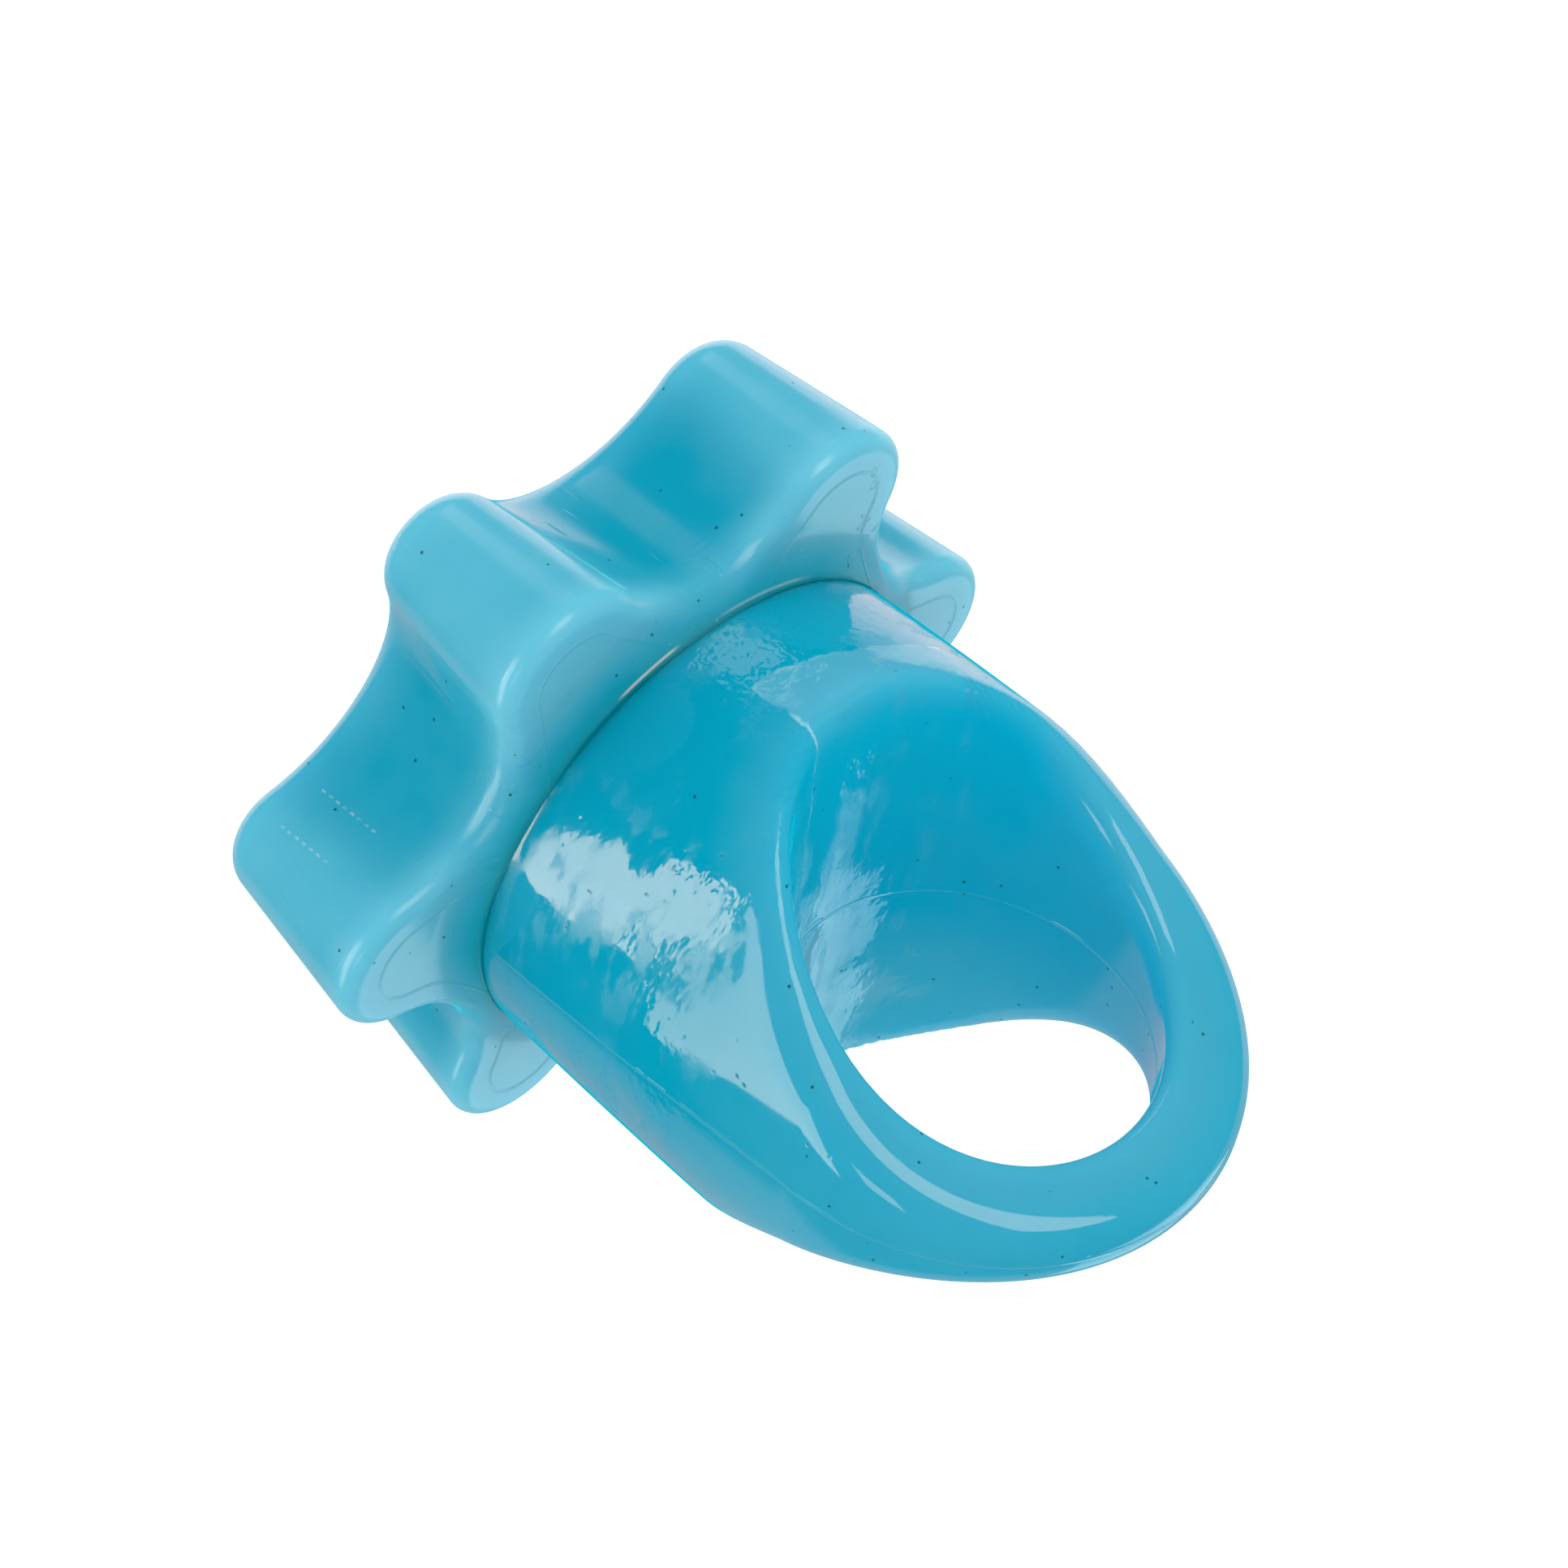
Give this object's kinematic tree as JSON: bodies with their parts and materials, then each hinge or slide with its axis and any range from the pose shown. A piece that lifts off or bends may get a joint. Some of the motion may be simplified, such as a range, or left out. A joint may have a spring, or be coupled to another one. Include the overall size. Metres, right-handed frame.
{
  "type": "star finger ring",
  "caption": "Soft squeeze ring: a thick star-shaped head bonded on a domed finger ring with a flared hole and scooped sides.",
  "frame": {"origin": "centre of the star's flat front face, which the object stands on", "axes": "+Z from the star through the finger ring, Y along the finger hole, X through the lobes that lie in the plane of the ring's loop"},
  "size_m": [0.0428, 0.0384, 0.0446],
  "materials": {
    "star_elastomer": "satin translucent blue elastomer with fine mould cutter marks",
    "ring_elastomer": "glossy translucent blue elastomer"
  },
  "bodies": {
    "root": {"star_head": "star_elastomer", "finger_ring": "ring_elastomer"}
  },
  "joints": []
}
